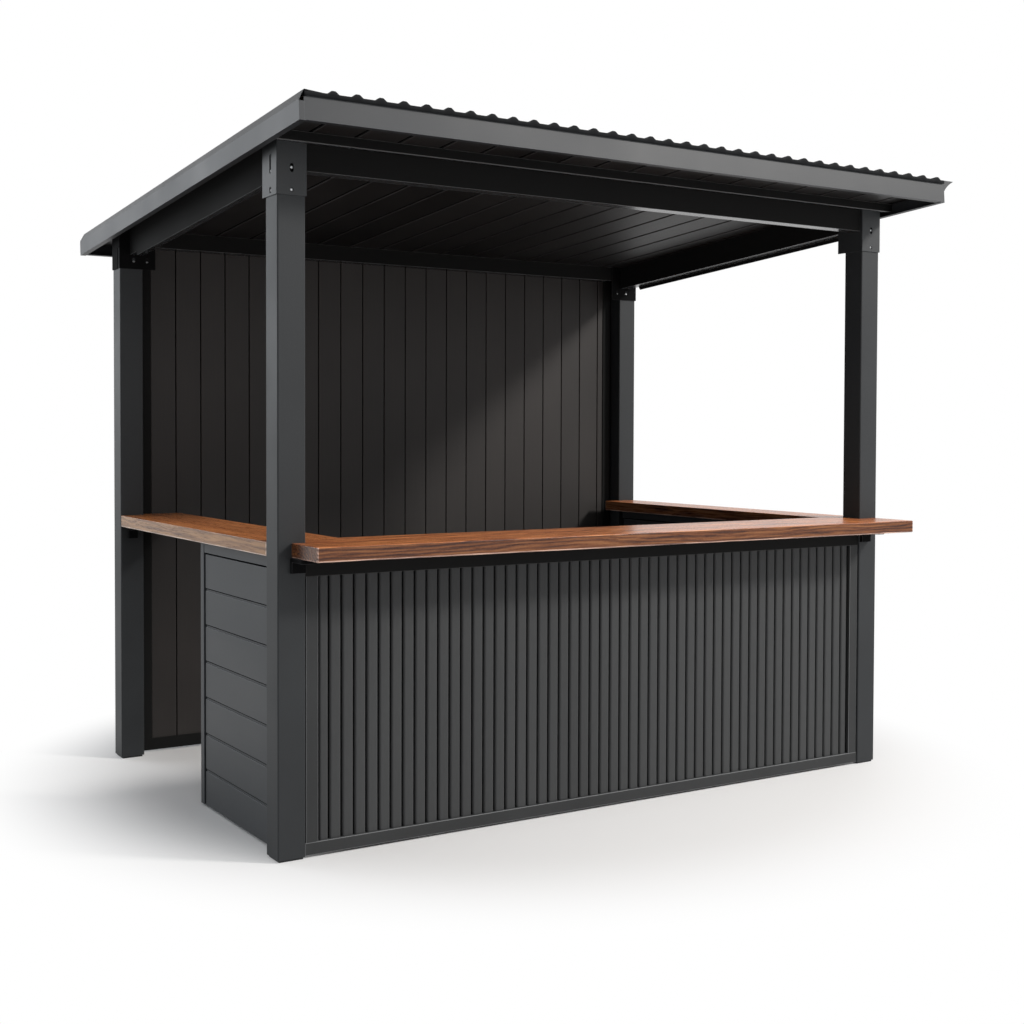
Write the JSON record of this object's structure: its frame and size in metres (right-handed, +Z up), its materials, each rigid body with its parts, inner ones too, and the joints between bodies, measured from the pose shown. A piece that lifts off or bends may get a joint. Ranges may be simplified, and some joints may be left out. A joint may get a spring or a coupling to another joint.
{
  "type": "garden bar gazebo",
  "caption": "Open-sided garden bar with square posts, a lean-to ribbed roof, boarded back wall, fluted front, boarded half-height sides and a timber counter round three sides.",
  "frame": {"origin": "middle of the roof's footprint, on the ground under the posts' feet", "axes": "+X along the serving front, to the right seen from the front; +Y from the front to the back wall; +Z up"},
  "size_m": [2.949, 2.4728, 2.4927],
  "materials": {
    "frame_paint": "satin charcoal powder coat",
    "bracket_paint": "satin charcoal powder coat",
    "roof_paint": "satin charcoal powder coat",
    "batten_timber": "sawn softwood",
    "board_paint": "satin near-black coat",
    "front_paint": "satin charcoal powder coat",
    "side_paint": "satin charcoal powder coat",
    "counter_timber": "oiled reddish-brown hardwood with straight grain"
  },
  "bodies": {
    "root": {"post_front_left": "frame_paint", "post_front_right": "frame_paint", "post_back_left": "frame_paint", "post_back_right": "frame_paint", "front_beam": "frame_paint", "back_beam": "frame_paint", "left_beam": "frame_paint", "right_beam": "frame_paint", "eaves_ledger": "frame_paint", "plate_front_left": "bracket_paint", "plate_front_right": "bracket_paint", "plate_back_left": "bracket_paint", "plate_back_right": "bracket_paint", "front_counter_arm_left": "bracket_paint", "front_counter_arm_right": "bracket_paint", "side_counter_arm": "bracket_paint", "roof_sheet": "roof_paint", "front_fascia": "roof_paint", "back_fascia": "roof_paint", "left_roof_trim": "roof_paint", "right_roof_trim": "roof_paint", "roof_batten_front": "batten_timber", "roof_batten_middle": "batten_timber", "roof_batten_back": "batten_timber", "ceiling_boards": "board_paint", "back_wall_boards": "board_paint", "back_bottom_rail": "board_paint", "back_left_stud": "board_paint", "back_right_stud": "board_paint", "front_bottom_rail": "front_paint", "front_top_rail": "front_paint", "front_left_stile": "front_paint", "front_right_stile": "front_paint", "front_fluted_panel": "front_paint", "left_side_boards": "side_paint", "left_side_rail": "side_paint", "left_entry_trim": "side_paint", "right_side_boards": "side_paint", "right_side_rail": "side_paint", "front_counter": "counter_timber", "left_counter": "counter_timber", "right_counter": "counter_timber"}
  },
  "joints": []
}
